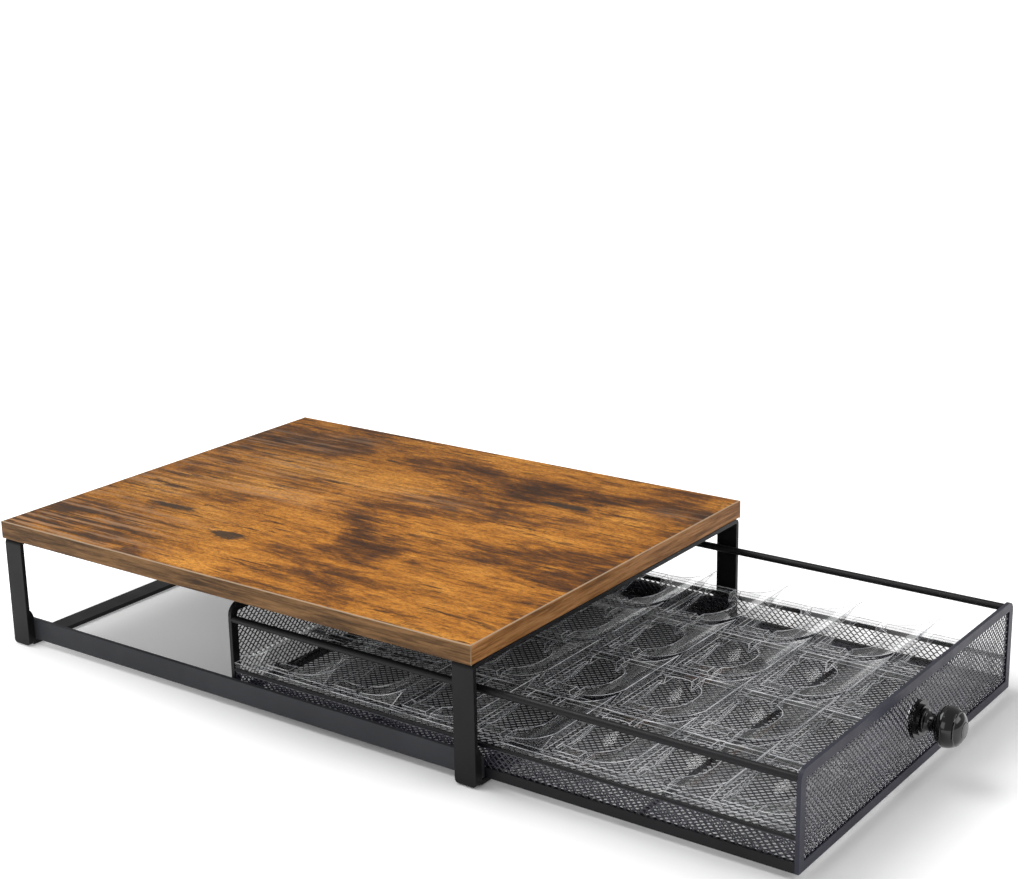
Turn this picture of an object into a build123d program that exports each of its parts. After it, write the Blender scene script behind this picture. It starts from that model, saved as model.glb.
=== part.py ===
from build123d import *
import math
import os

# Coffee pod drawer: a wooden board on a flat-bar steel stand, with a mesh drawer that
# slides out at the front and carries four rows of clear pod trays.
# Millimetres. +Z is up, the drawer opens towards -Y, and the parts stand as they do with
# the drawer drawn half out. X = 0 is the middle of the width and Z = 0 is the surface
# that the object stands on. Y = 0 is the middle of the whole depth, knob included.

# ---------------------------------------------------------------- driving dimensions

# Board
board_width = 325.0
board_depth = 420.0
board_thick = 13.0
band_thick = 1.0
band_corner = 0.6

# Stand, bent from flat bar
bar_width = 16.0
bar_thick = 3.0
bend_inside = 1.0
leg_height = 80.5
leg_inset = 2.0
leg_foot_corner = 2.5
tab_height = 25.0
tab_corner = 5.0
rail_height = 15.0
rail_lift = 4.0
foot_pad_thick = 1.0
foot_pad_size = 12.0

# Board screws
screw_diameter = 3.6
screw_reach = 9.0
screw_head_across = 7.0
screw_head_height = 2.2
screw_clearance = 0.3
screws_per_bar = 2
screw_end_distance = 45.0

# Drawer
drawer_depth = 422.0
drawer_drawn_out = 209.5
closed_overhang = 2.0
side_gap = 1.0
slide_gap = 0.5
front_height = 62.0
rear_height = 67.5
front_corner = 7.0
rear_corner = 9.0
panel_rim_face = 6.0
mesh_grip = 4.0
mesh_thick = 1.0
rim_wall = 0.8
base_rim_height = 6.5
skirt_wire_diameter = 2.6
skirt_wire_height = 21.0
upper_rail_diameter = 5.0
upper_rail_height = 56.5
floor_height = 4.0
floor_wire_diameter = 3.0
floor_wires_count = 3

# Mesh openings: one row of diamonds every row step, each second row shifted by half
mesh_web = 1.6
front_mesh_columns = 13
front_mesh_rows = 4
rear_mesh_columns = 11
rear_mesh_rows = 4
skirt_mesh_columns = 16
skirt_mesh_rows = 2
floor_mesh_columns = 4
floor_mesh_rows = 13

# Knob
knob_height = 35.0
knob_head_diameter = 26.0
knob_head_length = 17.0
knob_neck_diameter = 11.0
knob_collar_diameter = 15.0
knob_collar_length = 2.0
knob_neck_length = 9.0
rosette_diameter = 24.0
rosette_step_diameter = 19.0
rosette_thick = 2.5
rosette_step_thick = 2.5
knob_washer_diameter = 18.0
knob_patch_size = 22.0
knob_washer_thick = 1.2
knob_screw_diameter = 4.0
knob_screw_engagement = 14.0
knob_screw_head_across = 7.0
knob_screw_head_height = 2.6
bore_clearance = 0.2
head_shape = [(0.8, 0.0), (1.0, 0.35), (0.88, 0.78), (0.5, 1.0), (0.0, 1.0)]

# Pod trays: the heights are above the underside of the drawer
tray_rows = 4
seats_per_row = 7
seat_pitch = 57.2
first_seat = 51.5
tray_wall = 1.4
tray_gap = 0.3
row_gap = 0.3
lip_overhang = 0.65
ledge_width = 5.1
ledge_height = 26.0
deck_height = 28.4
ramp_height = 40.0
slot_floor = 8.5
slot_depth = 4.0
tip_overhang = 3.5
rim_standoff = 1.6
block_length = 18.5
notch_length = 4.5
notch_depth = 4.3
pod_sides = 8
pod_tilt = 30.0
pod_centre_height = 43.4
pod_rim_radius = 31.0
pod_rim_thick = 1.6
pod_body_radius = 27.5
pod_body_depth = 31.0
pod_nose_inset = 12.5
pod_nose_length = 20.0
ramp_knee_rise = 0.25

# ------------------------------------------------------------------- derived places

pads_top = foot_pad_thick
board_underside = pads_top + leg_height
board_top = board_underside + board_thick
leg_outer_x = board_width / 2 - leg_inset
tab_outer_x = leg_outer_x - bar_thick
rail_outer_x = tab_outer_x - bar_thick
rail_inner_x = rail_outer_x - bar_thick
drawer_half = rail_inner_x - side_gap
drawer_base = pads_top + bar_thick + slide_gap

rosette_total = rosette_thick + rosette_step_thick
knob_reach = rosette_total + knob_neck_length + knob_head_length
whole_depth = board_depth + closed_overhang + drawer_drawn_out + knob_reach
board_rear = whole_depth / 2
board_front = board_rear - board_depth
board_middle = board_rear - board_depth / 2
drawer_front = board_front - closed_overhang - drawer_drawn_out
drawer_rear = drawer_front + drawer_depth

panel_thick = mesh_thick + 2 * rim_wall
rim_inner_x = drawer_half - panel_thick
mesh_middle_x = drawer_half - panel_thick / 2
floor_top = floor_height + mesh_thick


def side_plane(x):
    """Looks along +X: local x runs back from the drawer's front face, local y runs up."""
    return Plane(origin=(x, drawer_front, drawer_base), x_dir=(0, 1, 0), z_dir=(1, 0, 0))


def face_plane(back):
    """Faces the front, a distance back from the drawer's front face."""
    origin = (0, drawer_front + back, drawer_base)
    return Plane(origin=origin, x_dir=(1, 0, 0), z_dir=(0, -1, 0))


def stand_plane(y):
    """Faces the front at a place on the stand, with local y up from the surface."""
    return Plane(origin=(0, y, 0), x_dir=(1, 0, 0), z_dir=(0, -1, 0))


def finish_piece(piece, name):
    """Names a finished piece and writes it to its own file."""
    piece.part.label = name
    export_step(piece.part, f"parts/{name}.step")


os.makedirs("parts", exist_ok=True)

# ---------------------------------------------------------------------------- board

core_width = board_width - 2 * band_thick
core_depth = board_depth - 2 * band_thick
screw_span = 2 * (leg_outer_x - screw_end_distance)
screw_step = screw_span / (screws_per_bar - 1)
bar_rows = board_depth - bar_width

with BuildPart() as board_panel:
    with BuildSketch(Plane.XY.offset(board_underside)):
        with Locations((0, board_middle)):
            Rectangle(core_width, core_depth)
    extrude(amount=board_thick)
    with BuildSketch(Plane.XY.offset(board_underside)):
        with Locations((0, board_middle)):
            with GridLocations(screw_step, bar_rows, screws_per_bar, 2):
                Circle(screw_diameter / 2)
    extrude(amount=screw_reach, mode=Mode.SUBTRACT)
finish_piece(board_panel, "board_panel")


def edge_band(width, depth, x, y, outward):
    """A strip of edge banding, eased along its outer long arrises."""
    with BuildPart() as band:
        with BuildSketch(Plane.XY.offset(board_underside)):
            with Locations((x, y)):
                Rectangle(width, depth)
        extrude(amount=board_thick)
        outer_face = band.faces().sort_by(outward)[-1]
        long_axis = Axis.X if width > depth else Axis.Y
        chamfer(outer_face.edges().filter_by(long_axis), band_corner)
    return band


side_band_x = (board_width - band_thick) / 2
end_band_y = (board_depth - band_thick) / 2
finish_piece(
    edge_band(band_thick, board_depth, -side_band_x, board_middle, -Axis.X),
    "edge_band_left",
)
finish_piece(
    edge_band(band_thick, board_depth, side_band_x, board_middle, Axis.X),
    "edge_band_right",
)
finish_piece(
    edge_band(core_width, band_thick, 0, board_middle - end_band_y, -Axis.Y),
    "edge_band_front",
)
finish_piece(
    edge_band(core_width, band_thick, 0, board_middle + end_band_y, Axis.Y),
    "edge_band_rear",
)

# ---------------------------------------------------------------------------- stand


def bent_bar(half_span, low, high, flat_at_top):
    """The outline of a bar bent into a U, seen from the front: a flat with two arms."""
    open_end = low - bar_thick if flat_at_top else high + bar_thick
    bend_level = high if flat_at_top else low
    bend_outside = bend_inside + bar_thick
    with BuildSketch(Plane.XY, mode=Mode.PRIVATE) as outline:
        with Locations((0, (low + high) / 2)):
            Rectangle(2 * half_span, high - low)
        corners = outline.vertices().filter_by(lambda v: abs(v.Y - bend_level) < 1e-6)
        fillet(corners, bend_outside)
        inner_low = open_end if flat_at_top else low + bar_thick
        inner_high = high - bar_thick if flat_at_top else open_end
        with BuildSketch(Plane.XY, mode=Mode.PRIVATE) as hollow:
            with Locations((0, (inner_low + inner_high) / 2)):
                Rectangle(2 * (half_span - bar_thick), inner_high - inner_low)
            inner_level = inner_high if flat_at_top else inner_low
            inner = hollow.vertices().filter_by(lambda v: abs(v.Y - inner_level) < 1e-6)
            fillet(inner, bend_inside)
        add(hollow.sketch, mode=Mode.SUBTRACT)
    return outline.sketch


def leg_frame(front_y):
    """A bar bent down at both ends: the flat carries the board and the arms are the legs."""
    with BuildPart() as frame:
        with BuildSketch(stand_plane(front_y)):
            add(bent_bar(leg_outer_x, pads_top, board_underside, True))
        extrude(amount=-bar_width)
        feet = frame.edges().filter_by(Axis.X).group_by(Axis.Z)[0]
        fillet(feet, leg_foot_corner)
        with BuildSketch(Plane.XY.offset(board_underside)):
            with Locations((0, front_y + bar_width / 2)):
                with GridLocations(screw_step, 1, screws_per_bar, 1):
                    Circle(screw_diameter / 2 + screw_clearance)
        extrude(amount=-bar_thick, mode=Mode.SUBTRACT)
    return frame


def cross_tie(front_y):
    """A bar flat on the surface, with tabs bent up inside the legs."""
    with BuildPart() as tie:
        with BuildSketch(stand_plane(front_y)):
            add(bent_bar(tab_outer_x, pads_top, pads_top + tab_height, False))
        extrude(amount=-bar_width)
        tips = tie.edges().filter_by(Axis.X).group_by(Axis.Z)[-1]
        fillet(tips, tab_corner)
    return tie


rear_bar_y = board_rear - bar_width
finish_piece(leg_frame(board_front), "front_leg_frame")
finish_piece(leg_frame(rear_bar_y), "rear_leg_frame")
finish_piece(cross_tie(board_front), "front_cross_tie")
finish_piece(cross_tie(rear_bar_y), "rear_cross_tie")


def side_rail(side):
    """A bar on edge along the drawer's side, against the inner faces of the tabs."""
    with BuildPart() as rail:
        with BuildSketch(Plane.XY.offset(pads_top + rail_lift)):
            with Locations((side * (rail_inner_x + bar_thick / 2), board_middle)):
                Rectangle(bar_thick, board_depth)
        extrude(amount=rail_height)
    return rail


finish_piece(side_rail(-1), "left_side_rail")
finish_piece(side_rail(1), "right_side_rail")

with BuildPart() as board_screws:
    with BuildSketch(Plane.XY.offset(board_underside - bar_thick)):
        with Locations((0, board_middle)):
            with GridLocations(screw_step, bar_rows, screws_per_bar, 2):
                RegularPolygon(screw_head_across / 2, 6, major_radius=False)
    extrude(amount=-screw_head_height)
    with BuildSketch(Plane.XY.offset(board_underside - bar_thick)):
        with Locations((0, board_middle)):
            with GridLocations(screw_step, bar_rows, screws_per_bar, 2):
                Circle(screw_diameter / 2)
    extrude(amount=bar_thick + screw_reach)
finish_piece(board_screws, "board_screws")

pad_x = tab_outer_x - bar_thick - foot_pad_size / 2
with BuildPart() as foot_pads:
    with BuildSketch(Plane.XY):
        with Locations((0, board_middle)):
            with GridLocations(2 * pad_x, bar_rows, 2, 2):
                Rectangle(foot_pad_size, foot_pad_size)
    extrude(amount=foot_pad_thick)
finish_piece(foot_pads, "foot_pads")

# -------------------------------------------------------------------- drawer basket


def panel_outline(height, corner, inset):
    """The outline of an end panel, drawn in from its edge by the inset."""
    width = 2 * (drawer_half - inset)
    tall = height - 2 * inset
    with BuildSketch(Plane.XY, mode=Mode.PRIVATE) as outline:
        with Locations((0, height / 2)):
            Rectangle(width, tall)
        top = outline.vertices().group_by(Axis.Y)[-1]
        fillet(top, max(corner - inset, 1))
    return outline.sketch


def panel_frame(back, height, corner):
    """A folded rim round an end panel, with a slot all round that grips the mesh."""
    with BuildPart() as frame:
        with BuildSketch(face_plane(back)):
            add(panel_outline(height, corner, 0))
            add(panel_outline(height, corner, panel_rim_face), mode=Mode.SUBTRACT)
        extrude(amount=-panel_thick)
        with BuildSketch(face_plane(back + rim_wall)):
            add(panel_outline(height, corner, panel_rim_face - mesh_grip))
        extrude(amount=-mesh_thick, mode=Mode.SUBTRACT)
    return frame


def diamonds(width, height, columns, rows):
    """Staggered diamonds that leave a web between them, over a window of this size."""
    column_step = width / (columns + 0.5)
    row_step = height / (rows + 1)
    half_wide = column_step / 2 - mesh_web / 2
    half_tall = row_step - mesh_web / 2
    places = [
        (
            (column + 0.5 + 0.5 * (row % 2)) * column_step - width / 2,
            (row + 1) * row_step - height / 2,
        )
        for row in range(rows)
        for column in range(columns)
    ]
    with BuildSketch(Plane.XY, mode=Mode.PRIVATE) as pattern:
        with Locations(*places):
            Polygon((-half_wide, 0), (0, -half_tall), (half_wide, 0), (0, half_tall))
    return pattern.sketch


def end_mesh(back, height, corner, columns, rows, knob_patch):
    """The mesh of an end panel, with a plain patch and a hole where the knob bolts on."""
    window_width = 2 * (drawer_half - panel_rim_face)
    window_height = height - 2 * panel_rim_face
    with BuildPart() as mesh:
        with BuildSketch(face_plane(back + rim_wall)):
            add(panel_outline(height, corner, panel_rim_face - mesh_grip))
            with Locations((0, height / 2)):
                add(
                    diamonds(window_width, window_height, columns, rows),
                    mode=Mode.SUBTRACT,
                )
            if knob_patch:
                with Locations((0, knob_height)):
                    Rectangle(knob_patch_size, knob_patch_size)
                    Circle(knob_screw_diameter / 2 + bore_clearance, mode=Mode.SUBTRACT)
        extrude(amount=-mesh_thick)
    return mesh


rear_panel_back = drawer_depth - panel_thick
finish_piece(panel_frame(0, front_height, front_corner), "front_panel_frame")
finish_piece(panel_frame(rear_panel_back, rear_height, rear_corner), "rear_panel_frame")
finish_piece(
    end_mesh(0, front_height, front_corner, front_mesh_columns, front_mesh_rows, True),
    "front_mesh",
)
finish_piece(
    end_mesh(
        rear_panel_back, rear_height, rear_corner, rear_mesh_columns, rear_mesh_rows, False
    ),
    "rear_mesh",
)

inside_depth = drawer_depth - 2 * panel_thick
inside_middle = drawer_depth / 2
skirt_mesh_low = rim_wall
skirt_mesh_high = skirt_wire_height - skirt_wire_diameter / 2


def base_rim(side):
    """A folded channel along the foot of the drawer's side, open at the top."""
    with BuildPart() as rim:
        with BuildSketch(face_plane(panel_thick)):
            with Locations((side * mesh_middle_x, base_rim_height / 2)):
                Rectangle(panel_thick, base_rim_height)
            with Locations((side * mesh_middle_x, (rim_wall + base_rim_height) / 2)):
                Rectangle(mesh_thick, base_rim_height - rim_wall, mode=Mode.SUBTRACT)
        extrude(amount=-inside_depth)
    return rim


def skirt_mesh(side):
    """The low mesh side, from inside the base rim up to the wire above it."""
    window_low = base_rim_height
    window_height = skirt_mesh_high - window_low
    with BuildPart() as skirt:
        with BuildSketch(side_plane(side * mesh_middle_x - mesh_thick / 2)):
            with Locations((inside_middle, (skirt_mesh_low + skirt_mesh_high) / 2)):
                Rectangle(inside_depth, skirt_mesh_high - skirt_mesh_low)
            with Locations((inside_middle, window_low + window_height / 2)):
                add(
                    diamonds(inside_depth, window_height, skirt_mesh_columns, skirt_mesh_rows),
                    mode=Mode.SUBTRACT,
                )
        extrude(amount=mesh_thick)
    return skirt


def long_wire(x, height, diameter):
    """A straight wire from the front panel to the rear one."""
    with BuildPart() as wire:
        with BuildSketch(face_plane(panel_thick)):
            with Locations((x, height)):
                Circle(diameter / 2)
        extrude(amount=-inside_depth)
    return wire


upper_rail_x = drawer_half - upper_rail_diameter / 2
for side, hand in ((-1, "left"), (1, "right")):
    finish_piece(base_rim(side), f"{hand}_base_rim")
    finish_piece(skirt_mesh(side), f"{hand}_skirt_mesh")
    finish_piece(
        long_wire(side * mesh_middle_x, skirt_wire_height, skirt_wire_diameter),
        f"{hand}_skirt_wire",
    )
    finish_piece(
        long_wire(side * upper_rail_x, upper_rail_height, upper_rail_diameter),
        f"{hand}_upper_rail",
    )

with BuildPart() as floor_mesh:
    with BuildSketch(Plane.XY.offset(drawer_base + floor_height)):
        with Locations((0, drawer_front + inside_middle)):
            Rectangle(2 * rim_inner_x, inside_depth)
            add(
                diamonds(2 * rim_inner_x, inside_depth, floor_mesh_columns, floor_mesh_rows),
                mode=Mode.SUBTRACT,
            )
    extrude(amount=mesh_thick)
finish_piece(floor_mesh, "floor_mesh")

floor_wire_step = inside_depth / (floor_wires_count + 1)
floor_wire_height = floor_height - floor_wire_diameter / 2
with BuildPart() as floor_wires:
    with BuildSketch(side_plane(-rim_inner_x)):
        with Locations((inside_middle, floor_wire_height)):
            with GridLocations(floor_wire_step, 1, floor_wires_count, 1):
                Circle(floor_wire_diameter / 2)
    extrude(amount=2 * rim_inner_x)
finish_piece(floor_wires, "floor_wires")

# ----------------------------------------------------------------------------- knob

knob_centre = (0, drawer_front, drawer_base + knob_height)
knob_axis = Axis(knob_centre, (0, -1, 0))
knob_section = Plane(origin=knob_centre, x_dir=(1, 0, 0), z_dir=(0, 0, -1))
screw_bore = knob_screw_diameter / 2 + bore_clearance
rosette_radius = rosette_diameter / 2
rosette_step_radius = rosette_step_diameter / 2
neck_radius = knob_neck_diameter / 2
collar_radius = knob_collar_diameter / 2
head_radius = knob_head_diameter / 2
collar_end = rosette_total + knob_collar_length
neck_end = rosette_total + knob_neck_length

with BuildPart() as knob_rosette:
    with BuildSketch(knob_section):
        with BuildLine():
            Polyline(
                (screw_bore, 0),
                (rosette_radius, 0),
                (rosette_radius, rosette_thick),
                (rosette_step_radius, rosette_thick),
                (rosette_step_radius, rosette_total),
                (screw_bore, rosette_total),
                close=True,
            )
        make_face()
    revolve(axis=knob_axis)
finish_piece(knob_rosette, "knob_rosette")

# The head's half section: how far out, and how far along the head's length
head_points = [(share * head_radius, neck_end + run * knob_head_length) for share, run in head_shape]

with BuildPart() as knob:
    with BuildSketch(knob_section):
        with BuildLine():
            Polyline(
                (0, rosette_total),
                (collar_radius, rosette_total),
                (collar_radius, collar_end),
                (neck_radius, collar_end),
                (neck_radius, neck_end),
                *head_points,
                close=True,
            )
        make_face()
    revolve(axis=knob_axis)
    with BuildSketch(face_plane(-rosette_total)):
        with Locations((0, knob_height)):
            Circle(knob_screw_diameter / 2)
    extrude(amount=knob_screw_engagement - rosette_total, mode=Mode.SUBTRACT)
finish_piece(knob, "knob")

washer_back = rim_wall + mesh_thick
with BuildPart() as knob_washer:
    with BuildSketch(face_plane(washer_back)):
        with Locations((0, knob_height)):
            Circle(knob_washer_diameter / 2)
            Circle(screw_bore, mode=Mode.SUBTRACT)
    extrude(amount=-knob_washer_thick)
finish_piece(knob_washer, "knob_washer")

screw_seat = washer_back + knob_washer_thick
with BuildPart() as knob_screw:
    with BuildSketch(face_plane(screw_seat)):
        with Locations((0, knob_height)):
            RegularPolygon(knob_screw_head_across / 2, 6, major_radius=False)
    extrude(amount=-knob_screw_head_height)
    with BuildSketch(face_plane(screw_seat)):
        with Locations((0, knob_height)):
            Circle(knob_screw_diameter / 2)
    extrude(amount=screw_seat + knob_screw_engagement)
finish_piece(knob_screw, "knob_screw")

# ------------------------------------------------------------------------ pod trays

row_pitch = (2 * (drawer_half - lip_overhang) + row_gap) / tray_rows
lip_outer = (row_pitch - row_gap) / 2
body_half = lip_outer - ledge_width
lip_low = skirt_wire_height + skirt_wire_diameter / 2 + tray_gap
tray_low = floor_top + tray_gap / 2
tray_start = panel_thick + knob_washer_thick + knob_screw_head_height + tray_gap
tray_end = drawer_depth - panel_thick - tray_gap
tray_length = tray_end - tray_start
tilt = math.radians(pod_tilt)
pod_turn = 180 / pod_sides
rim_to_corner = rim_standoff - (pod_centre_height - deck_height) * math.tan(tilt)
seat_corners = [first_seat + seat * seat_pitch for seat in range(seats_per_row)]


def deck_outline():
    """The side view of a row: at each seat a ramp, a notch, a level block and a slot.

    The back of each ramp leans over the slot, where the rim of a pod stands.
    """
    slot_level = deck_height - slot_depth
    knee_height = deck_height + ramp_knee_rise * (ramp_height - deck_height)
    points = [(seat_corners[0] - seat_pitch - tip_overhang, tray_low)]
    for corner in seat_corners + [seat_corners[-1] + seat_pitch]:
        tip = corner - seat_pitch - tip_overhang
        foot = corner - block_length - notch_length
        points += [
            (tip, ramp_height),
            ((foot + tip) / 2, knee_height),
            (foot, deck_height),
            (foot + notch_length / 2, deck_height - notch_depth),
            (foot + notch_length, deck_height),
            (corner, deck_height),
            (corner, slot_level),
            (corner + slot_floor, slot_level),
        ]
    points += [(points[-1][0], tray_low)]
    with BuildSketch(Plane.XY, mode=Mode.PRIVATE) as outline:
        with BuildLine():
            Polyline(*points, close=True)
        make_face()
        with Locations(((tray_start + tray_end) / 2, (tray_low + ramp_height) / 2)):
            Rectangle(tray_length, ramp_height - tray_low, mode=Mode.INTERSECT)
    return outline.sketch


def pod_spaces(grow):
    """The room that the pods of a row take, each tilted nose down, grown by a wall."""
    nose_down = Vector(0, -math.cos(tilt), -math.sin(tilt))
    rim_plane = Plane(origin=(0, 0, 0), x_dir=(1, 0, 0), z_dir=nose_down)
    with BuildPart(mode=Mode.PRIVATE) as space:
        with BuildSketch(rim_plane):
            RegularPolygon(pod_body_radius + grow, pod_sides, rotation=pod_turn, major_radius=False)
        extrude(amount=pod_body_depth + grow)
        nose = space.faces().sort_by(Axis((0, 0, 0), nose_down))[-1]
        chamfer(nose.edges(), pod_nose_inset, pod_nose_length, reference=nose)
        with BuildSketch(rim_plane.offset(-pod_rim_thick / 2 - grow)):
            RegularPolygon(pod_rim_radius + grow, pod_sides, rotation=pod_turn, major_radius=False)
        extrude(amount=pod_rim_thick + 2 * grow)
    with BuildPart(mode=Mode.PRIVATE) as spaces:
        rim_middles = [
            (0, drawer_front + corner + rim_to_corner, drawer_base + pod_centre_height)
            for corner in seat_corners
        ]
        with Locations(*rim_middles):
            add(space.part)
    return spaces.part


with BuildPart() as tray_row:
    with BuildSketch(side_plane(-body_half)):
        add(deck_outline())
    extrude(amount=2 * body_half)
    with BuildSketch(side_plane(tray_wall - body_half)):
        add(deck_outline())
        offset(amount=-tray_wall, kind=Kind.INTERSECTION, mode=Mode.REPLACE)
        with Locations(((tray_start + tray_end) / 2, tray_low + tray_wall)):
            Rectangle(tray_length - 2 * tray_wall, 2 * tray_wall)
    extrude(amount=2 * (body_half - tray_wall), mode=Mode.SUBTRACT)
    with BuildPart(mode=Mode.PRIVATE) as cups:
        add(pod_spaces(tray_wall))
        with BuildSketch(side_plane(-body_half)):
            add(deck_outline())
        extrude(amount=2 * body_half, mode=Mode.INTERSECT)
    add(cups.part)
    add(pod_spaces(0), mode=Mode.SUBTRACT)
    with BuildSketch(face_plane(tray_start)):
        for side in (-1, 1):
            with Locations((side * (lip_outer - ledge_width / 2), ledge_height - tray_wall / 2)):
                Rectangle(ledge_width, tray_wall)
            with Locations((side * (lip_outer - tray_wall / 2), (lip_low + ledge_height) / 2)):
                Rectangle(tray_wall, ledge_height - lip_low)
    extrude(amount=-tray_length)

for index in range(tray_rows):
    with BuildPart() as placed_row:
        with Locations(((index - (tray_rows - 1) / 2) * row_pitch, 0, 0)):
            add(tray_row.part)
    finish_piece(placed_row, f"pod_tray_row_{index + 1}")
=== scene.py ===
import math

import bmesh
import bpy
import numpy as np
from mathutils import Matrix, Vector


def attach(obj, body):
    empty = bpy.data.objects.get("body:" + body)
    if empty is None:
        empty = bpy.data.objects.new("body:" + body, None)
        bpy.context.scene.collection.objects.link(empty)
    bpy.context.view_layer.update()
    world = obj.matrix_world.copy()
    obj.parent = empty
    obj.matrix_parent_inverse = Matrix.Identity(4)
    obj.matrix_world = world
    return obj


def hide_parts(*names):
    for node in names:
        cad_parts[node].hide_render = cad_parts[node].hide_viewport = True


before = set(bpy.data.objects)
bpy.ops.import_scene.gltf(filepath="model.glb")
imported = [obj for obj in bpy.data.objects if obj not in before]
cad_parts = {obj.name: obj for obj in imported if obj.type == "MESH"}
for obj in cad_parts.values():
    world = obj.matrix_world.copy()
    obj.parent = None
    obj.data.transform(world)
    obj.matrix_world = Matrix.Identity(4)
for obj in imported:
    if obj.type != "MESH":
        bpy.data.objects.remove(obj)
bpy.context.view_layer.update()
scene = bpy.context.scene
MM = 0.001

# ------------------------------------------------------------- places, in millimetres
BOARD_FRONT, BOARD_TOP = -88.75, 94.5
DRAWER_FRONT, DRAWER_REAR, DRAWER_BASE = -300.25, 121.75, 4.5
DRAWER_HALF, PANEL_THICK, MESH_MIDDLE = 150.5, 2.6, 1.3
FRONT_HEIGHT, FRONT_CORNER = 62.0, 7.0
REAR_HEIGHT, REAR_CORNER = 67.5, 9.0
SKIRT_LOW, SKIRT_HIGH = DRAWER_BASE + 1.2, DRAWER_BASE + 19.9
SKIRT_WIRE_MIDDLE, SKIRT_WIRE_RADIUS = 21.0, 1.3
FLOOR_LEVEL = DRAWER_BASE + 4.5
KNOB_Z = DRAWER_BASE + 35.0


# ---------------------------------------------------------------------------- helpers
def linear(r, g, b):
    """A colour written as on a screen, 0 to 255, as the shader wants it."""
    return tuple(
        c / 255 / 12.92 if c / 255 <= 0.04045 else ((c / 255 + 0.055) / 1.055) ** 2.4
        for c in (r, g, b)
    ) + (1.0,)


class Nodes:
    """A material with its node tree, and short calls to add nodes to it."""

    def __init__(self, name):
        self.material = bpy.data.materials.new(name)
        self.material.use_nodes = True
        self.tree = self.material.node_tree
        self.tree.nodes.clear()

    def add(self, kind, inputs=None, **settings):
        """A new node; each input is a value or the socket that feeds it."""
        node = self.tree.nodes.new(kind)
        for key, value in settings.items():
            setattr(node, key, value)
        for key, value in (inputs or {}).items():
            if isinstance(value, bpy.types.NodeSocket):
                self.tree.links.new(value, node.inputs[key])
            else:
                node.inputs[key].default_value = value
        return node

    def where(self, scale):
        """The place on the object in metres, stretched by a scale along each axis."""
        place = self.add("ShaderNodeTexCoord").outputs["Object"]
        return self.add("ShaderNodeMapping", {"Vector": place, "Scale": scale}).outputs[0]

    def noise(self, vector, scale, detail=3.0, rough=0.55, twist=0.0):
        """Fractal noise between 0 and 1."""
        return self.add(
            "ShaderNodeTexNoise",
            {"Vector": vector, "Scale": scale, "Detail": detail, "Roughness": rough,
             "Distortion": twist},
        ).outputs["Fac"]

    def math(self, what, a, b=0.0, c=0.0, clamp=False):
        return self.add(
            "ShaderNodeMath", {0: a, 1: b, 2: c}, operation=what, use_clamp=clamp
        ).outputs[0]

    def ramp(self, value, *stops):
        """A colour that follows a value, from (value, colour) stops."""
        node = self.add("ShaderNodeValToRGB", {"Fac": value})
        marks = node.color_ramp.elements
        while len(marks) < len(stops):
            marks.new(0.5)
        for mark, (position, colour) in zip(marks, stops):
            mark.position, mark.color = position, colour
        return node.outputs["Color"]

    def step(self, value, low, high, start=0.0, end=1.0):
        """A smooth change from start to end as the value goes from low to high."""
        return self.add(
            "ShaderNodeMapRange",
            {"Value": value, "From Min": low, "From Max": high, "To Min": start,
             "To Max": end},
            interpolation_type="SMOOTHSTEP",
        ).outputs["Result"]

    def mix(self, amount, a, b, blend="MIX"):
        """Two colours, blended by an amount; 6, 7 and output 2 are the colour sockets."""
        return self.add(
            "ShaderNodeMix", {0: amount, 6: a, 7: b}, data_type="RGBA", blend_type=blend
        ).outputs[2]

    def bump(self, height, strength, distance):
        return self.add(
            "ShaderNodeBump",
            {"Height": height, "Strength": strength, "Distance": distance},
        ).outputs["Normal"]

    def finish(self, colour, **sockets):
        """The finished material, with a surface of this colour."""
        names = {"rough": "Roughness", "normal": "Normal", "metal": "Metallic",
                 "coat": "Coat Weight", "coat_rough": "Coat Roughness",
                 "specular": "Specular IOR Level"}
        inputs = {names[key]: value for key, value in sockets.items()}
        inputs["Base Color"] = colour
        shader = self.add("ShaderNodeBsdfPrincipled", inputs)
        self.add("ShaderNodeOutputMaterial", {"Surface": shader.outputs[0]})
        return self.material


def grey(value):
    """A neutral colour, as the shader wants it."""
    return (value, value, value, 1.0)


def mesh_object(name, vertices, faces, material, body="drawer", smooth=False):
    """A piece from points in millimetres, on a body, with one material."""
    mesh = bpy.data.meshes.new(name)
    mesh.from_pydata((np.asarray(vertices) * MM).tolist(), [], [list(f) for f in faces])
    mesh.update()
    mesh.polygons.foreach_set("use_smooth", [smooth] * len(mesh.polygons))
    piece = bpy.data.objects.new(name, mesh)
    scene.collection.objects.link(piece)
    piece.data.materials.append(material)
    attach(piece, body)
    return piece


# -------------------------------------------------------------------------- materials
def powder_coat(name, dark, light, rough=0.42, specular=0.22):
    """Satin powder coat: a fine orange peel and a slow drift of tone."""
    n = Nodes(name)
    place = n.where((1, 1, 1))
    drift = n.noise(place, 14.0, 2.0)
    peel = n.noise(place, 1400.0, 2.0)
    colour = n.ramp(drift, (0.3, dark), (0.7, light))
    roughness = n.step(n.noise(place, 60.0), 0.3, 0.7, rough - 0.04, rough + 0.05)
    return n.finish(colour, rough=roughness, normal=n.bump(peel, 0.12, 0.0002),
                    specular=specular)


# Place x and y on the board, and the reach along and across the grain, in metres
CHARRED_SPOTS = [
    (-0.071, 0.251, 0.022, 0.006),
    (-0.096, 0.172, 0.017, 0.008),
    (0.083, 0.010, 0.026, 0.006),
]


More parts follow.
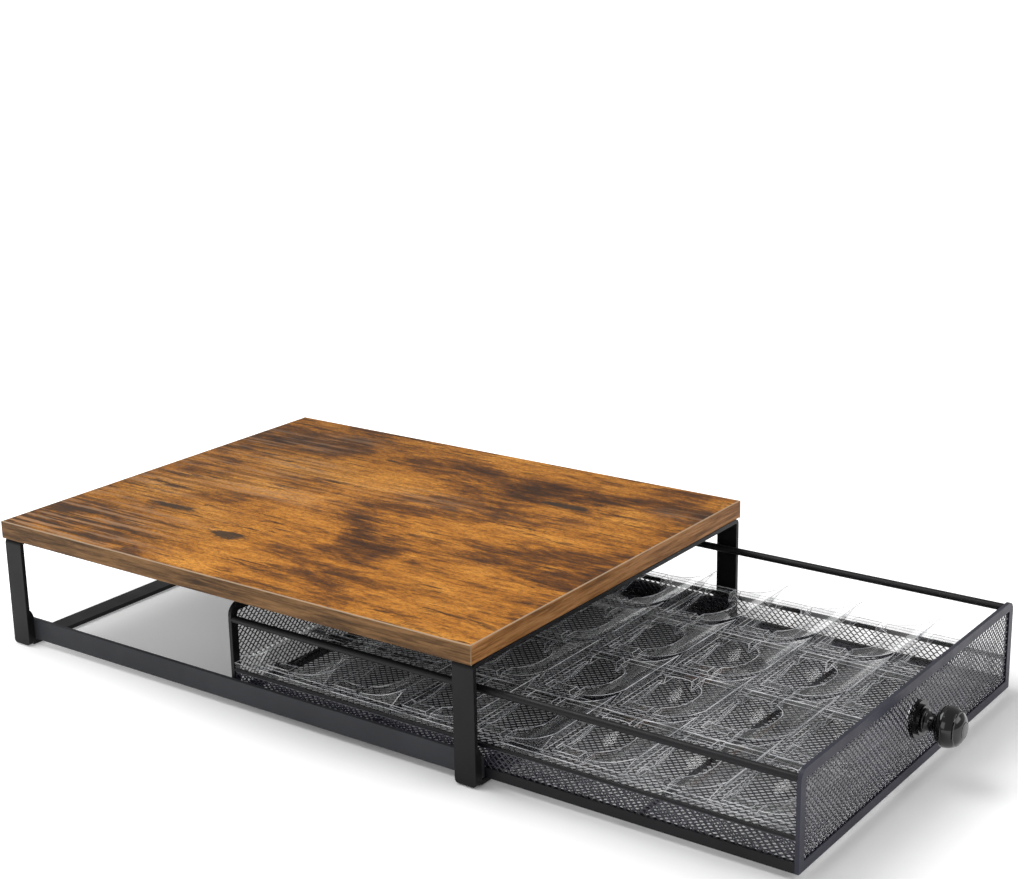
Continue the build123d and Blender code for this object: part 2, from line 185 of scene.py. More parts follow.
def wood_top():
    """Rustic brown board: golden fields, dark short grain, grey saw marks and smudges."""
    n = Nodes("rustic_board")
    place = n.add("ShaderNodeTexCoord").outputs["Object"]
    split = n.add("ShaderNodeSeparateXYZ", {0: place})
    x, y = split.outputs["X"], split.outputs["Y"]
    fields = n.noise(n.where((1, 0.5, 1)), 12.0, 3.0, 0.5, 0.5)
    mottle = n.noise(n.where((1, 0.28, 1)), 60.0, 5.0, 0.7, 0.4)
    fibre = n.noise(n.where((1, 0.13, 1)), 330.0, 4.0, 0.72)
    speck = n.noise(n.where((1, 0.4, 1)), 800.0, 3.0, 0.7)
    tone = n.math("MULTIPLY", fields, 0.42)
    tone = n.math("MULTIPLY_ADD", mottle, 0.34, tone)
    tone = n.math("MULTIPLY_ADD", fibre, 0.24, tone)
    colour = n.ramp(
        tone,
        (0.395, linear(68, 38, 14)),
        (0.455, linear(120, 72, 26)),
        (0.505, linear(182, 115, 38)),
        (0.595, linear(224, 152, 62)),
    )
    shade = n.step(speck, 0.33, 0.60, 0.56, 1.10)
    # The board is darker towards its rear and its right edge
    shade = n.math("MULTIPLY", shade, n.step(y, 0.10, 0.28, 1.0, 0.76))
    shade = n.math("MULTIPLY", shade, n.step(x, 0.00, 0.10, 1.0, 0.86))
    colour = n.mix(1.0, colour, n.mix(shade, grey(0), grey(1)), "MULTIPLY")
    # Dark dashes with the grain, in loose patches
    dash = n.step(n.noise(n.where((1, 0.085, 1)), 260.0, 4.0, 0.72), 0.46, 0.39)
    loose = n.step(n.noise(n.where((1, 0.5, 1)), 22.0, 2.0), 0.42, 0.58, 0.25, 0.92)
    colour = n.mix(n.math("MULTIPLY", dash, loose), colour, linear(62, 38, 20))
    # Saw marks: dark and pale lines side by side, mostly in the rear left corner
    corner = n.math(
        "MULTIPLY", n.step(x, -0.03, -0.13), n.step(y, 0.15, 0.27), clamp=True
    )
    other = n.step(n.noise(n.where((1, 0.6, 1)), 8.0, 1.0), 0.52, 0.66, 0.0, 0.55)
    patch = n.math("MAXIMUM", corner, other)
    wander = n.noise(n.where((1, 0.035, 1)), 200.0, 3.0, 0.7)
    saw = n.math("MULTIPLY", patch, n.step(wander, 0.50, 0.56))
    colour = n.mix(n.math("MULTIPLY", saw, 0.88), colour, linear(60, 46, 36))
    pale = n.math("MULTIPLY", patch, n.step(wander, 0.49, 0.43))
    colour = n.mix(n.math("MULTIPLY", pale, 0.55), colour, linear(166, 136, 108))
    # Smudges like charred spots, at a few places, with ragged ends
    ragged = n.noise(n.where((1, 0.3, 1)), 150.0, 4.0, 0.75)
    for spot_x, spot_y, long, wide in CHARRED_SPOTS:
        dx = n.math("DIVIDE", n.math("SUBTRACT", x, spot_x), wide)
        dy = n.math("DIVIDE", n.math("SUBTRACT", y, spot_y), long)
        far = n.math("SQRT", n.math("ADD", n.math("MULTIPLY", dx, dx),
                                    n.math("MULTIPLY", dy, dy)))
        far = n.math("MULTIPLY_ADD", ragged, 2.0, far)
        colour = n.mix(n.step(far, 2.0, 1.6, 0.0, 0.88), colour, linear(46, 40, 34))
    # The underside is plain dark melamine
    facing = n.add("ShaderNodeSeparateXYZ", {
        0: n.add("ShaderNodeTexCoord").outputs["Normal"]}).outputs["Z"]
    plain = n.ramp(fibre, (0.3, linear(38, 35, 33)), (0.7, linear(52, 48, 46)))
    colour = n.mix(n.step(facing, -0.4, -0.6), colour, plain)
    rough = n.step(fibre, 0.3, 0.7, 0.42, 0.55)
    return n.finish(colour, rough=rough, normal=n.bump(fibre, 0.10, 0.0003),
                    specular=0.12)


def wood_band(name, along, colours, pale_low=None):
    """Edge banding: short dark grain along its length, with a painted highlight along its top
    edge.

    A band along Y also has a painted highlight at its low end, where it meets the front band.
    """
    n = Nodes(name)
    stretch = (0.07, 1, 1) if along == "X" else (1, 0.07, 1)
    place = n.add("ShaderNodeTexCoord").outputs["Object"]
    split = n.add("ShaderNodeSeparateXYZ", {0: place})
    tone = n.noise(n.where(stretch), 330.0, 5.0, 0.7, 0.3)
    drift = n.noise(n.where((1, 1, 1)), 12.0, 2.0)
    tone = n.math("ADD", n.math("MULTIPLY", tone, 0.75), n.math("MULTIPLY", drift, 0.25))
    colour = n.ramp(tone, (0.36, colours[0]), (0.48, colours[1]), (0.60, colours[2]))
    # Painted highlight: a pale line along the top edge, where light catches it
    arris_highlight = n.step(split.outputs["Z"], (BOARD_TOP - 0.65) * MM, (BOARD_TOP - 0.2) * MM,
                   0.0, 0.75)
    colour = n.mix(arris_highlight, colour, linear(190, 166, 140))
    if pale_low is not None:
        # Painted highlight: pale at the corner where this band meets the front band
        end = n.step(split.outputs["Y"], pale_low + 0.0004, pale_low, 0.0, 0.7)
        colour = n.mix(end, colour, linear(170, 142, 112))
    return n.finish(colour, rough=0.5, normal=n.bump(tone, 0.08, 0.0002), specular=0.15)


def clear_plastic():
    """Clear moulded plastic: see-through head on, bright where it turns away."""
    n = Nodes("clear_tray_plastic")
    flow = n.noise(n.where((1, 1, 1)), 90.0, 2.0)
    normal = n.bump(flow, 0.04, 0.0005)
    colour = n.ramp(flow, (0.3, linear(236, 237, 239)), (0.7, linear(250, 250, 250)))
    gloss = n.add(
        "ShaderNodeBsdfAnisotropic", {"Color": colour, "Roughness": 0.10, "Normal": normal}
    ).outputs[0]
    haze = n.add("ShaderNodeBsdfDiffuse", {"Color": colour}).outputs[0]
    shine = n.add("ShaderNodeMixShader", {0: 0.12, 1: gloss, 2: haze}).outputs[0]
    through = n.add("ShaderNodeBsdfTransparent", {0: grey(0.992)}).outputs[0]
    amount = n.add("ShaderNodeFresnel", {"IOR": 1.45, "Normal": normal}).outputs[0]
    # Light that leaves the plastic again isn't mirrored a second time
    entering = n.math("SUBTRACT", 1.0, n.add("ShaderNodeNewGeometry").outputs["Backfacing"])
    amount = n.math("MULTIPLY", n.math("MULTIPLY_ADD", amount, 0.75, 0.012), entering)
    both = n.add("ShaderNodeMixShader", {0: amount, 1: through, 2: shine}).outputs[0]
    n.add("ShaderNodeOutputMaterial", {"Surface": both})
    return n.material


def painted_edge_glint():
    """Painted highlight for the edges of the clear plastic, which gather light and look
    whitish in places.
    """
    n = Nodes("clear_edge_light")
    flow = n.noise(n.where((1, 1, 1)), 60.0, 2.0)
    colour = n.ramp(flow, (0.35, linear(214, 216, 222)), (0.65, linear(250, 250, 252)))
    white = n.add("ShaderNodeBsdfDiffuse", {"Color": colour}).outputs[0]
    through = n.add("ShaderNodeBsdfTransparent", {0: grey(1.0)}).outputs[0]
    amount = n.step(flow, 0.38, 0.62, 0.22, 0.62)
    both = n.add("ShaderNodeMixShader", {0: amount, 1: through, 2: white}).outputs[0]
    n.add("ShaderNodeOutputMaterial", {"Surface": both})
    return n.material


def gloss_black():
    """Polished black enamel on the knob and its rosette."""
    n = Nodes("knob_gloss_black")
    place = n.where((1, 1, 1))
    drift = n.noise(place, 60.0, 2.0)
    colour = n.ramp(drift, (0.3, linear(5, 5, 6)), (0.7, linear(9, 9, 11)))
    return n.finish(colour, rough=n.step(drift, 0.3, 0.7, 0.12, 0.16), coat=0.35,
                    coat_rough=0.03, specular=0.35)


def zinc():
    """Zinc-plated steel with a fine spangle."""
    n = Nodes("zinc_steel")
    place = n.where((1, 1, 1))
    spangle = n.noise(place, 500.0, 3.0)
    colour = n.ramp(spangle, (0.3, linear(150, 150, 154)), (0.7, linear(186, 186, 190)))
    return n.finish(colour, rough=n.step(spangle, 0.3, 0.7, 0.28, 0.4), metal=1.0)


def soft_pad():
    """Dull dark rubber."""
    n = Nodes("pad_rubber")
    grain = n.noise(n.where((1, 1, 1)), 900.0, 3.0)
    colour = n.ramp(grain, (0.3, linear(26, 26, 27)), (0.7, linear(40, 40, 41)))
    return n.finish(colour, rough=0.8, normal=n.bump(grain, 0.2, 0.0002))


stand_coat = powder_coat("stand_powder_coat", linear(19, 18, 19), linear(28, 27, 29),
                         specular=0.16)
rail_coat = powder_coat("rail_powder_coat", linear(42, 43, 47), linear(52, 53, 57), 0.5)
basket_coat = powder_coat("basket_powder_coat", linear(16, 16, 18), linear(24, 24, 27))
mesh_coat = powder_coat("mesh_coat", linear(31, 31, 41), linear(46, 46, 60), 0.30, 0.7)
rim_coat = powder_coat("rim_coat", linear(41, 41, 51), linear(54, 54, 67), 0.4)
tray_plastic = clear_plastic()
edge_light = painted_edge_glint()
knob_black = gloss_black()
steel = zinc()

side_colours = (linear(58, 40, 22), linear(100, 72, 44), linear(140, 104, 66))
end_colours = (linear(84, 54, 26), linear(140, 94, 50), linear(182, 130, 82))
looks = {
    "board_panel": wood_top(),
    "edge_band_left": wood_band("band_left", "Y", side_colours, BOARD_FRONT * MM),
    "edge_band_right": wood_band("band_right", "Y", side_colours, BOARD_FRONT * MM),
    "edge_band_front": wood_band("band_front", "X", end_colours),
    "edge_band_rear": wood_band("band_rear", "X", end_colours),
    "front_leg_frame": stand_coat,
    "rear_leg_frame": stand_coat,
    "front_cross_tie": stand_coat,
    "rear_cross_tie": stand_coat,
    "left_side_rail": rail_coat,
    "right_side_rail": rail_coat,
    "board_screws": steel,
    "foot_pads": soft_pad(),
    "front_panel_frame": rim_coat,
    "rear_panel_frame": basket_coat,
    "front_mesh": mesh_coat,
    "rear_mesh": mesh_coat,
    "floor_mesh": mesh_coat,
    "floor_wires": basket_coat,
    "left_base_rim": basket_coat,
    "right_base_rim": basket_coat,
    "left_skirt_mesh": mesh_coat,
    "right_skirt_mesh": mesh_coat,
    "left_skirt_wire": basket_coat,
    "right_skirt_wire": basket_coat,
    "left_upper_rail": basket_coat,
    "right_upper_rail": basket_coat,
    "knob_rosette": knob_black,
    "knob": knob_black,
    "knob_washer": steel,
    "knob_screw": steel,
}
for row in range(1, 5):
    looks[f"pod_tray_row_{row}"] = tray_plastic
for name, material in looks.items():
    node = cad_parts[name]
    node.data.materials.clear()
    node.data.materials.append(material)

# Small rounds on the bar and sheet edges, so that they catch the light
BAR_ROUND, PANEL_ROUND, RIM_ROUND = 0.4, 0.3, 0.2
edge_rounds = {
    "front_leg_frame": BAR_ROUND,
    "rear_leg_frame": BAR_ROUND,
    "front_cross_tie": BAR_ROUND,
    "rear_cross_tie": BAR_ROUND,
    "left_side_rail": BAR_ROUND,
    "right_side_rail": BAR_ROUND,
    "front_panel_frame": PANEL_ROUND,
    "rear_panel_frame": PANEL_ROUND,
    "left_base_rim": RIM_ROUND,
    "right_base_rim": RIM_ROUND,
}
for name, width in edge_rounds.items():
    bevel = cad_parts[name].modifiers.new("edge_round", "BEVEL")
    bevel.width = width * MM
    bevel.segments = 2
    bevel.limit_method = "ANGLE"
    bevel.angle_limit = math.radians(40)

# ---------------------------------------------------------------------- expanded mesh
CELL, ROW, STRAND, SHEET = 4.6, 2.35, 0.72, 0.7
FLOOR_CELL, FLOOR_ROW = 5.2, 2.6
STRAND_MEET = 0.85
GRIP = 2.2
INSIDE_LENGTH = DRAWER_REAR - DRAWER_FRONT - 2 * PANEL_THICK
MIDDLE_Y = (DRAWER_REAR + DRAWER_FRONT) / 2


def net(name, size_u, size_v, place, limit=None, cell=CELL, row_step=ROW):
    """Expanded mesh over a rectangle: zigzag strands that meet at their peaks.

    place turns (u, v, depth) into a point, and limit gives how far u reaches at a v.
    """
    rows = max(2, round(size_v / row_step))
    step_v = size_v / rows
    columns = 2 * round(size_u / cell)
    step_u = size_u / columns
    swing = (step_v - STRAND * STRAND_MEET) / 2
    points, faces = [], []
    for row in range(rows + 1):
        v_row = -size_v / 2 + row * step_v
        half = limit(v_row) if limit else size_u / 2
        index = np.arange(columns + 1)
        u = -size_u / 2 + index * step_u
        sign = np.where((index + row) % 2 == 0, 1.0, -1.0)
        v = np.clip(v_row + sign * swing, (-size_v + STRAND) / 2, (size_v - STRAND) / 2)
        keep = np.abs(u) <= half + 1e-6
        u, v = u[keep], v[keep]
        if len(u) < 2:
            continue
        base = len(points)
        for a, b in zip(u, v):
            for dv, dt in ((-0.5, -0.5), (0.5, -0.5), (0.5, 0.5), (-0.5, 0.5)):
                points.append(place(a, b + dv * STRAND, dt * SHEET))
        for i in range(len(u) - 1):
            at = base + 4 * i
            for k in range(4):
                faces.append((at + k, at + (k + 1) % 4, at + 4 + (k + 1) % 4, at + 4 + k))
        last = base + 4 * (len(u) - 1)
        faces.append((base + 3, base + 2, base + 1, base))
        faces.append((last, last + 1, last + 2, last + 3))
    return mesh_object(name, points, faces, mesh_coat)


def rounded(height, corner, inset):
    """How far out the mesh reaches at a height, under a rim with rounded top corners."""
    def limit(v):
        top = height / 2 - inset
        over = v - (top - (corner - inset))
        half = DRAWER_HALF - inset
        if over <= 0:
            return half
        radius = corner - inset
        return half - radius + math.sqrt(max(radius * radius - over * over, 0.0))
    return limit


def dress_mesh(name):
    """Hide a mesh sheet of the solids, so that the fine mesh built for it stands alone in its
    place.
    """
    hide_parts(name)


for name, y, height, corner in (
    ("front_mesh", DRAWER_FRONT + MESH_MIDDLE, FRONT_HEIGHT, FRONT_CORNER),
    ("rear_mesh", DRAWER_REAR - MESH_MIDDLE, REAR_HEIGHT, REAR_CORNER),
):
    middle = DRAWER_BASE + height / 2
    fine = net(
        name + "_fine", 2 * (DRAWER_HALF - GRIP), height - 2 * GRIP,
        lambda u, v, t, y=y, middle=middle: (u, y + t, middle + v),
        rounded(height, corner, GRIP),
    )
    dress_mesh(name)

for side, hand in ((-1, "left"), (1, "right")):
    fine = net(
        f"{hand}_skirt_mesh_fine", INSIDE_LENGTH - 0.4, SKIRT_HIGH - SKIRT_LOW,
        lambda u, v, t, side=side: (
            side * (DRAWER_HALF - MESH_MIDDLE) + t, MIDDLE_Y + u,
            (SKIRT_LOW + SKIRT_HIGH) / 2 + v),
    )
    dress_mesh(f"{hand}_skirt_mesh")

fine = net(
    "floor_mesh_fine", INSIDE_LENGTH - 0.2, 2 * (DRAWER_HALF - PANEL_THICK) - 0.2,
    lambda u, v, t: (v, MIDDLE_Y + u, FLOOR_LEVEL + t),
    cell=FLOOR_CELL, row_step=FLOOR_ROW,
)
dress_mesh("floor_mesh")


# ------------------------------------------------------------------------------- knob
def lathe(name, profile, material, segments=96):
    """A turned piece about the knob's axis, from (radius, distance out) pairs."""
    points, faces = [], []
    for radius, out in profile:
        for k in range(segments):
            turn = 2 * math.pi * k / segments
            points.append((radius * math.cos(turn), DRAWER_FRONT - out,
                           KNOB_Z + radius * math.sin(turn)))
    for i in range(len(profile) - 1):
        for k in range(segments):
            a, b = i * segments + k, i * segments + (k + 1) % segments
            faces.append((a, b, b + segments, a + segments))
    faces.append(tuple(range(segments))[::-1])
    last = (len(profile) - 1) * segments
    faces.append(tuple(range(last, last + segments)))
    return mesh_object(name, points, faces, material, smooth=True)


def rounded_profile(points, steps=12):
    """The profile with a smooth curve at each corner, as long as its third number says."""
    out = []
    for i, (radius, along, fillet) in enumerate(points):
        if fillet == 0 or i in (0, len(points) - 1):
            out.append((radius, along))
            continue
        here = Vector((radius, along))
        before = (Vector(points[i - 1][:2]) - here).normalized()
        after = (Vector(points[i + 1][:2]) - here).normalized()
        start, end = here + before * fillet, here + after * fillet
        for s in range(steps + 1):
            t = s / steps
            p = start * (1 - t) ** 2 + here * 2 * t * (1 - t) + end * t * t
            out.append((p.x, p.y))
    return out


# Radius, distance out from the drawer's front, and the curve at the corner
knob_line = [
    (7.5, 5.05, 0), (7.5, 6.4, 0.6), (6.2, 7.2, 0.6), (5.5, 9.0, 0.8), (5.5, 12.4, 1.2),
    (8.6, 14.0, 1.6), (13.0, 16.6, 3.4), (12.9, 24.0, 4.4), (8.4, 29.6, 4.2),
    (3.6, 30.9, 1.6), (0.01, 30.98, 0),
]
knob_piece = lathe("knob_turned", rounded_profile(knob_line), knob_black)
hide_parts("knob")

# -------------------------------------------------------------------------- pod trays
# Distances back are from the drawer's front and heights from its underside
ROWS, ROW_PITCH, ROW_GAP = 4, 75.0, 0.3
SEATS, PITCH, FIRST = 7, 57.2, 51.5
DECK, RAMP_TOP, RAMP_STEPS = 28.4, 40.0, 10
SLOT_FLOOR, SLOT_DEEP, OVERHANG = 8.5, 4.0, 3.5
BLOCK, NOTCH, NOTCH_DEEP = 18.5, 4.5, 4.3
TRAY_START, TRAY_END, TRAY_LOW, SKIN = 6.7, 419.1, 5.15, 1.1
LEDGE, LEDGE_WIDE, OVERLAP = 26.0, 5.1, 0.3
LIP_OUT = (ROW_PITCH - ROW_GAP) / 2
LIP_LOW = SKIRT_WIRE_MIDDLE + SKIRT_WIRE_RADIUS + 0.3
BODY_HALF = LIP_OUT - LEDGE_WIDE
RIB_HALF, RIB_LIFT = 0.6, 0.4
POD_RIM, POD_RIM_HALF, POD_BODY, POD_DEEP = 31.0, 0.8, 27.5, 31.0
POD_TILT, POD_HEIGHT = math.radians(30), 43.4
POD_BACK = 1.6 - (POD_HEIGHT - DECK) * math.tan(POD_TILT)
CORNERS = [FIRST + PITCH * k for k in range(SEATS)]


def deck_line():
    """Points (distance back, height) of a tray's upper side outline, front to back."""
    line = []
    for corner in CORNERS + [FIRST + PITCH * SEATS]:
        tip = corner - PITCH - OVERHANG
        foot = corner - BLOCK - NOTCH
        for share in np.linspace(0, 1, RAMP_STEPS):
            line.append((tip + (foot - tip) * share,
                         DECK + (RAMP_TOP - DECK) * (1 - share) ** 2))
        line += [(foot + NOTCH * 0.4, DECK - NOTCH_DEEP),
                 (foot + NOTCH * 0.7, DECK - NOTCH_DEEP),
                 (foot + NOTCH, DECK), (corner, DECK), (corner, DECK - SLOT_DEEP),
                 (corner + SLOT_FLOOR, DECK - SLOT_DEEP)]
    return line


def level_at(line, back):
    """The height of the line where it first crosses a distance back."""
    for (b0, z0), (b1, z1) in zip(line, line[1:]):
        if b0 <= back < b1:
            return z0 + (z1 - z0) * (back - b0) / (b1 - b0)


def closed_outline(line):
    """The part of the line along a tray, closed along the tray's foot."""
    top = [p for p in line if TRAY_START + 2 * SKIN < p[0] < TRAY_END - 2 * SKIN]
    return [
        (TRAY_START, level_at(line, TRAY_START)), *top,
        (TRAY_END, level_at(line, TRAY_END)), (TRAY_END, TRAY_LOW), (TRAY_START, TRAY_LOW),
    ]


def drawn_in(outline, amount):
    """The outline moved inwards by an amount, with its foot moved out below instead."""
    points = np.array(outline)
    edges = np.roll(points, -1, axis=0) - points
    normals = np.stack([edges[:, 1], -edges[:, 0]], axis=1)
    normals /= np.linalg.norm(normals, axis=1)[:, None]
    before, after = np.roll(normals, 1, axis=0), normals
    inward = before + after
    inward /= (1 + (before * after).sum(axis=1))[:, None]
    moved = points + amount * inward
    moved[-2:, 1] = TRAY_LOW - 2.0
    return [tuple(p) for p in moved]


def solid(name, points, faces):
    """A bare mesh object, to be cut and joined, with all its faces turned outwards."""
    mesh = bpy.data.meshes.new(name)
    mesh.from_pydata((np.asarray(points) * MM).tolist(), [], [list(f) for f in faces])
    shape = bmesh.new()
    shape.from_mesh(mesh)
    bmesh.ops.recalc_face_normals(shape, faces=shape.faces)
    shape.to_mesh(mesh)
    shape.free()
    mesh.update()
    piece = bpy.data.objects.new(name, mesh)
    scene.collection.objects.link(piece)
    return piece


def bar(outline, half):
    """The outline drawn out to both sides of the row's middle."""
    count = len(outline)
    points = [(x, DRAWER_FRONT + b, DRAWER_BASE + z) for x in (-half, half)
              for b, z in outline]
    faces = [tuple(range(count)), tuple(range(2 * count - 1, count - 1, -1))]
    faces += [(k, k + count, (k + 1) % count + count, (k + 1) % count)
              for k in range(count)]
    return points, faces


def pods(grow, segments=56):
    """The pods of a row as round bodies, each with its rim, grown by an amount."""
    dome = [(POD_BODY, 4.0), (27.2, 9.0), (26.0, 14.0), (23.6, 19.0), (20.0, 23.6),
            (15.2, 27.4), (9.6, 30.0), (4.0, POD_DEEP)]
    profile = [(POD_RIM + grow, -POD_RIM_HALF - grow), (POD_RIM + grow, POD_RIM_HALF + grow),
               (POD_BODY + grow, POD_RIM_HALF + grow)]
    profile += [(r + grow, d + grow * d / POD_DEEP) for r, d in dome]
    points, faces = [], []
    for corner in CORNERS:
        base = len(points)
        for radius, along in profile:
            for k in range(segments):
                turn = 2 * math.pi * k / segments
                across, up = radius * math.cos(turn), radius * math.sin(turn)
                back = -along * math.cos(POD_TILT) - up * math.sin(POD_TILT)
                height = -along * math.sin(POD_TILT) + up * math.cos(POD_TILT)
                points.append((across, DRAWER_FRONT + corner + POD_BACK + back,
                               DRAWER_BASE + POD_HEIGHT + height))
        for i in range(len(profile) - 1):
            for k in range(segments):
                a, b = base + i * segments + k, base + i * segments + (k + 1) % segments
                faces.append((a, b, b + segments, a + segments))
        last = base + (len(profile) - 1) * segments
        faces.append(tuple(range(base, base + segments))[::-1])
        faces.append(tuple(range(last, last + segments)))
    return points, faces


def box(low, high):
    """Points and faces of a box."""
    points = [(x, y, z) for x in (low[0], high[0]) for y in (low[1], high[1])
              for z in (low[2], high[2])]
    faces = [(0, 1, 3, 2), (4, 6, 7, 5), (0, 4, 5, 1), (2, 3, 7, 6), (0, 2, 6, 4),
             (1, 5, 7, 3)]
    return points, faces


def ledges():
    """The ledge and lip along both sides of a row, with small ribs beneath."""
    points, faces = [], []
    y0, y1, z = DRAWER_FRONT + TRAY_START, DRAWER_FRONT + TRAY_END, DRAWER_BASE
    for side in (-1, 1):
        parts = [
            (BODY_HALF - OVERLAP, LIP_OUT, y0, y1, LEDGE - SKIN, LEDGE),
            (LIP_OUT - SKIN, LIP_OUT, y0, y1, LIP_LOW, LEDGE - SKIN),
        ]
        for corner in CORNERS:
            for mark in (corner + SLOT_FLOOR, corner + 1.0, corner - BLOCK - NOTCH / 2):
                at = DRAWER_FRONT + mark
                parts.append((BODY_HALF - OVERLAP, LIP_OUT - SKIN, at - RIB_HALF,
                              at + RIB_HALF, LIP_LOW + RIB_LIFT, LEDGE - SKIN))
        for a, b, near, far, low, high in parts:
            x = sorted((side * a, side * b))
            some, their_faces = box((x[0], near, z + low), (x[1], far, z + high))
            base = len(points)
            points += some
            faces += [tuple(base + i for i in face) for face in their_faces]
    return points, faces


def combined(first, *steps):
    """The mesh of the first piece after each (operation, other piece) in turn.

    The ledges are boxes that overlap each other, so their step looks into them too.
    """
    for operation, other in steps:
        change = first.modifiers.new(operation, "BOOLEAN")
        change.operation, change.object, change.solver = operation, other, "EXACT"
        change.use_self = other.name.startswith("ledges")
    bpy.context.view_layer.update()
    shape = first.evaluated_get(bpy.context.evaluated_depsgraph_get())
    mesh = bpy.data.meshes.new_from_object(shape)
    for piece in [first] + [other for _, other in steps]:
        bpy.data.objects.remove(piece)
    return mesh


GLINT_WIDTH, GLINT_SINK, GLINT_LEAST_ANGLE = 0.36, 0.8, 32.0
GLINT_LOW, GLINT_SHORTEST, GLINT_FACES_UP = 8.0, 0.05, 0.12


def glints(mesh):
    """Thin bars along the sharp upper edges of a mesh, for a painted highlight where clear
    plastic catches light.
    """
    shape = bmesh.new()
    shape.from_mesh(mesh)
    least, lowest = math.radians(GLINT_LEAST_ANGLE), (DRAWER_BASE + GLINT_LOW) * MM
    half, points, faces = GLINT_WIDTH / 2 * MM, [], []
    for edge in shape.edges:
        if len(edge.link_faces) != 2 or edge.calc_face_angle() < least:
            continue
        a, b = (v.co.copy() for v in edge.verts)
        if min(a.z, b.z) < lowest or (b - a).length < GLINT_SHORTEST * MM:
            continue
        inward = -sum((face.normal for face in edge.link_faces), Vector()).normalized()
        if inward.z > -GLINT_FACES_UP:
            continue
        along = (b - a).normalized()
        across = along.cross(inward).normalized()
        middle = inward * half * GLINT_SINK
        base = len(points)
        for end in (a, b):
            for p, q in ((-1, -1), (1, -1), (1, 1), (-1, 1)):
                corner = end + middle + across * p * half + inward * q * half
                points.append(tuple(corner / MM))
        faces += [tuple(base + k for k in face) for face in (
            (3, 2, 1, 0), (4, 5, 6, 7), (0, 1, 5, 4), (1, 2, 6, 5), (2, 3, 7, 6),
            (3, 0, 4, 7))]
    shape.free()
    return points, faces


outline = closed_outline(deck_line())
hollow = drawn_in(outline, SKIN)
block = solid("block", *bar(outline, BODY_HALF))
cups = combined(solid("cups", *pods(SKIN)), ("INTERSECT", block))
cup_piece = bpy.data.objects.new("cups", cups)
scene.collection.objects.link(cup_piece)
tray_mesh = combined(
    solid("tray", *bar(outline, BODY_HALF)),
    ("DIFFERENCE", solid("hollow", *bar(hollow, BODY_HALF - SKIN))),
    ("UNION", cup_piece),
    ("DIFFERENCE", solid("pods", *pods(0.0))),
    ("UNION", solid("ledges", *ledges())),
)
tray_mesh.polygons.foreach_set("use_smooth", [True] * len(tray_mesh.polygons))
tray_mesh.set_sharp_from_angle(angle=math.radians(28))
tray_mesh.materials.clear()
tray_mesh.materials.append(tray_plastic)
glint_points, glint_faces = glints(tray_mesh)
for row in range(ROWS):
    shift = (row - (ROWS - 1) / 2) * ROW_PITCH
    row_mesh = tray_mesh.copy()
    row_mesh.transform(Matrix.Translation((shift * MM, 0, 0)))
    piece = bpy.data.objects.new(f"pod_tray_clear_{row + 1}", row_mesh)
    scene.collection.objects.link(piece)
    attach(piece, "drawer")
    moved = [(x + shift, y, z) for x, y, z in glint_points]
    # Painted highlight: whitish bars along each tray's upper edges
    edges = mesh_object(f"pod_tray_edge_glints_{row + 1}", moved, glint_faces, edge_light)
    for thing in (piece, edges):
        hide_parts(f"pod_tray_row_{row + 1}")

# ------------------------------------------------------------------------------ stage
# Half the size of the plot under the object, in metres, that has hardly any glow
PLOT_X, PLOT_Y = 0.150, 0.320

bpy.ops.mesh.primitive_plane_add(size=30, location=(0, 0, 0))
floor = bpy.context.object
floor.name = "studio_floor"
n = Nodes("studio_floor_white")
diffuse = n.add("ShaderNodeBsdfDiffuse", {"Color": grey(0.86)}).outputs[0]
rays = n.add("ShaderNodeLightPath")
seen = n.math("MAXIMUM", rays.outputs["Is Camera Ray"], rays.outputs["Is Glossy Ray"])
seen = n.math("MAXIMUM", seen, rays.outputs["Is Transmission Ray"])
# The floor's glow is painted light: weak near the object, so that its shadow stays, and
# growing farther out
split = n.add("ShaderNodeSeparateXYZ", {0: n.add("ShaderNodeTexCoord").outputs["Object"]})
out_x = n.math("SUBTRACT", n.math("ABSOLUTE", split.outputs["X"]), PLOT_X)
out_y = n.math("SUBTRACT", n.math("ABSOLUTE", split.outputs["Y"]), PLOT_Y)
out_x, out_y = n.math("MAXIMUM", out_x, 0.0), n.math("MAXIMUM", out_y, 0.0)
far = n.math("SQRT", n.math("ADD", n.math("MULTIPLY", out_x, out_x),
                            n.math("MULTIPLY", out_y, out_y)))
# Painted shade: the glow is weaker towards the front, so the floor there is darker
under_glow = n.step(split.outputs["Y"], 0.00, 0.30, 0.05, 0.26)
near_glow = n.math("ADD", n.step(far, 0.0, 0.10, 0.0, 0.50), under_glow)
strength = n.math("ADD", n.step(far, 0.5, 1.6, 0.0, 0.45), near_glow)
glow = n.add(
    "ShaderNodeEmission", {"Color": grey(1.0), "Strength": n.math("MULTIPLY", seen, strength)}
).outputs[0]
both = n.add("ShaderNodeAddShader", {0: diffuse, 1: glow}).outputs[0]
n.add("ShaderNodeOutputMaterial", {"Surface": both})
floor.data.materials.append(n.material)

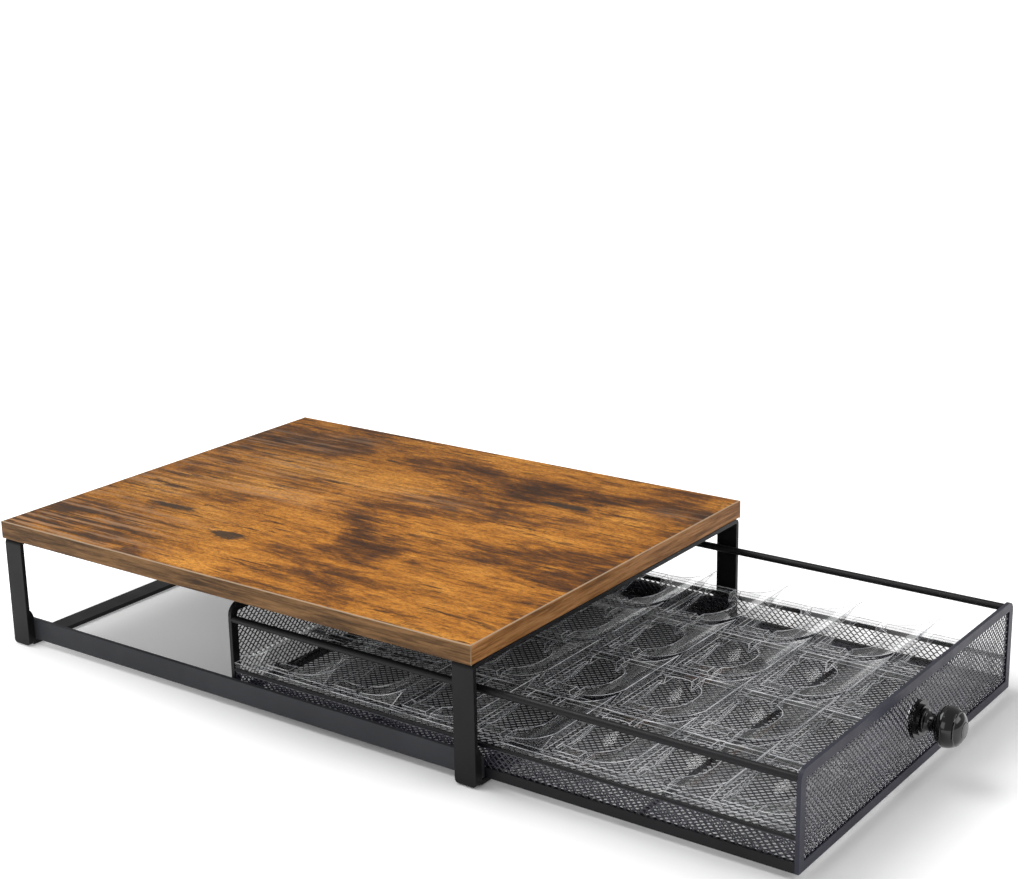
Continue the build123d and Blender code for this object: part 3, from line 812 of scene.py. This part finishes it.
# The backdrop: white to the camera, and weaker as a light
SKY_LIGHT, SKY_SEEN = 0.45, 1.0
world = bpy.data.worlds.new("studio")
scene.world = world
world.use_nodes = True
tree = world.node_tree
tree.nodes.clear()
rays = tree.nodes.new("ShaderNodeLightPath")
seen = tree.nodes.new("ShaderNodeMix")
seen.data_type = "FLOAT"
seen.inputs[2].default_value = SKY_LIGHT
seen.inputs[3].default_value = SKY_SEEN
tree.links.new(rays.outputs["Is Camera Ray"], seen.inputs[0])
sky = tree.nodes.new("ShaderNodeBackground")
sky.inputs["Color"].default_value = grey(1.0)
tree.links.new(seen.outputs[0], sky.inputs["Strength"])
out = tree.nodes.new("ShaderNodeOutputWorld")
tree.links.new(sky.outputs[0], out.inputs["Surface"])


def lamp(name, place, aim, size, watts):
    """A square soft light at a place in metres, turned to what it aims at."""
    light = bpy.data.lights.new(name, "AREA")
    light.shape, light.size, light.energy = "SQUARE", size, watts
    thing = bpy.data.objects.new(name, light)
    thing.location = place
    look = Vector(aim) - Vector(place)
    thing.rotation_euler = look.to_track_quat("-Z", "Y").to_euler()
    scene.collection.objects.link(thing)


lamp("key_lamp", (-0.4, 0.7, 1.6), (0, 0, 0.05), 1.1, 17)
lamp("front_lamp", (0.5, -1.7, 1.2), (0, -0.1, 0.05), 1.2, 12)
lamp("side_lamp", (-1.9, 0.1, 0.9), (0, 0, 0.05), 1.2, 8)

# ----------------------------------------------------------------------------- camera
CAMERA_PLACE, LENS, SENSOR = (-0.9760, -0.7132, 0.5212), 66.33, 36.0
forward = Vector((0.7752, 0.5655, -0.2813)).normalized()
right = Vector((0.5850, -0.8109, -0.0179))
right = (right - forward * right.dot(forward)).normalized()
up = right.cross(forward)
camera_data = bpy.data.cameras.new("camera")
camera_data.sensor_width = SENSOR
camera_data.lens = LENS
camera = bpy.data.objects.new("camera", camera_data)
scene.collection.objects.link(camera)
turn = Matrix((right, up, -forward)).transposed()
camera.matrix_world = Matrix.Translation(CAMERA_PLACE) @ turn.to_4x4()
camera_data.clip_start = 0.01
camera_data.clip_end = 100.0
scene.camera = camera
scene.view_settings.view_transform = "Standard"
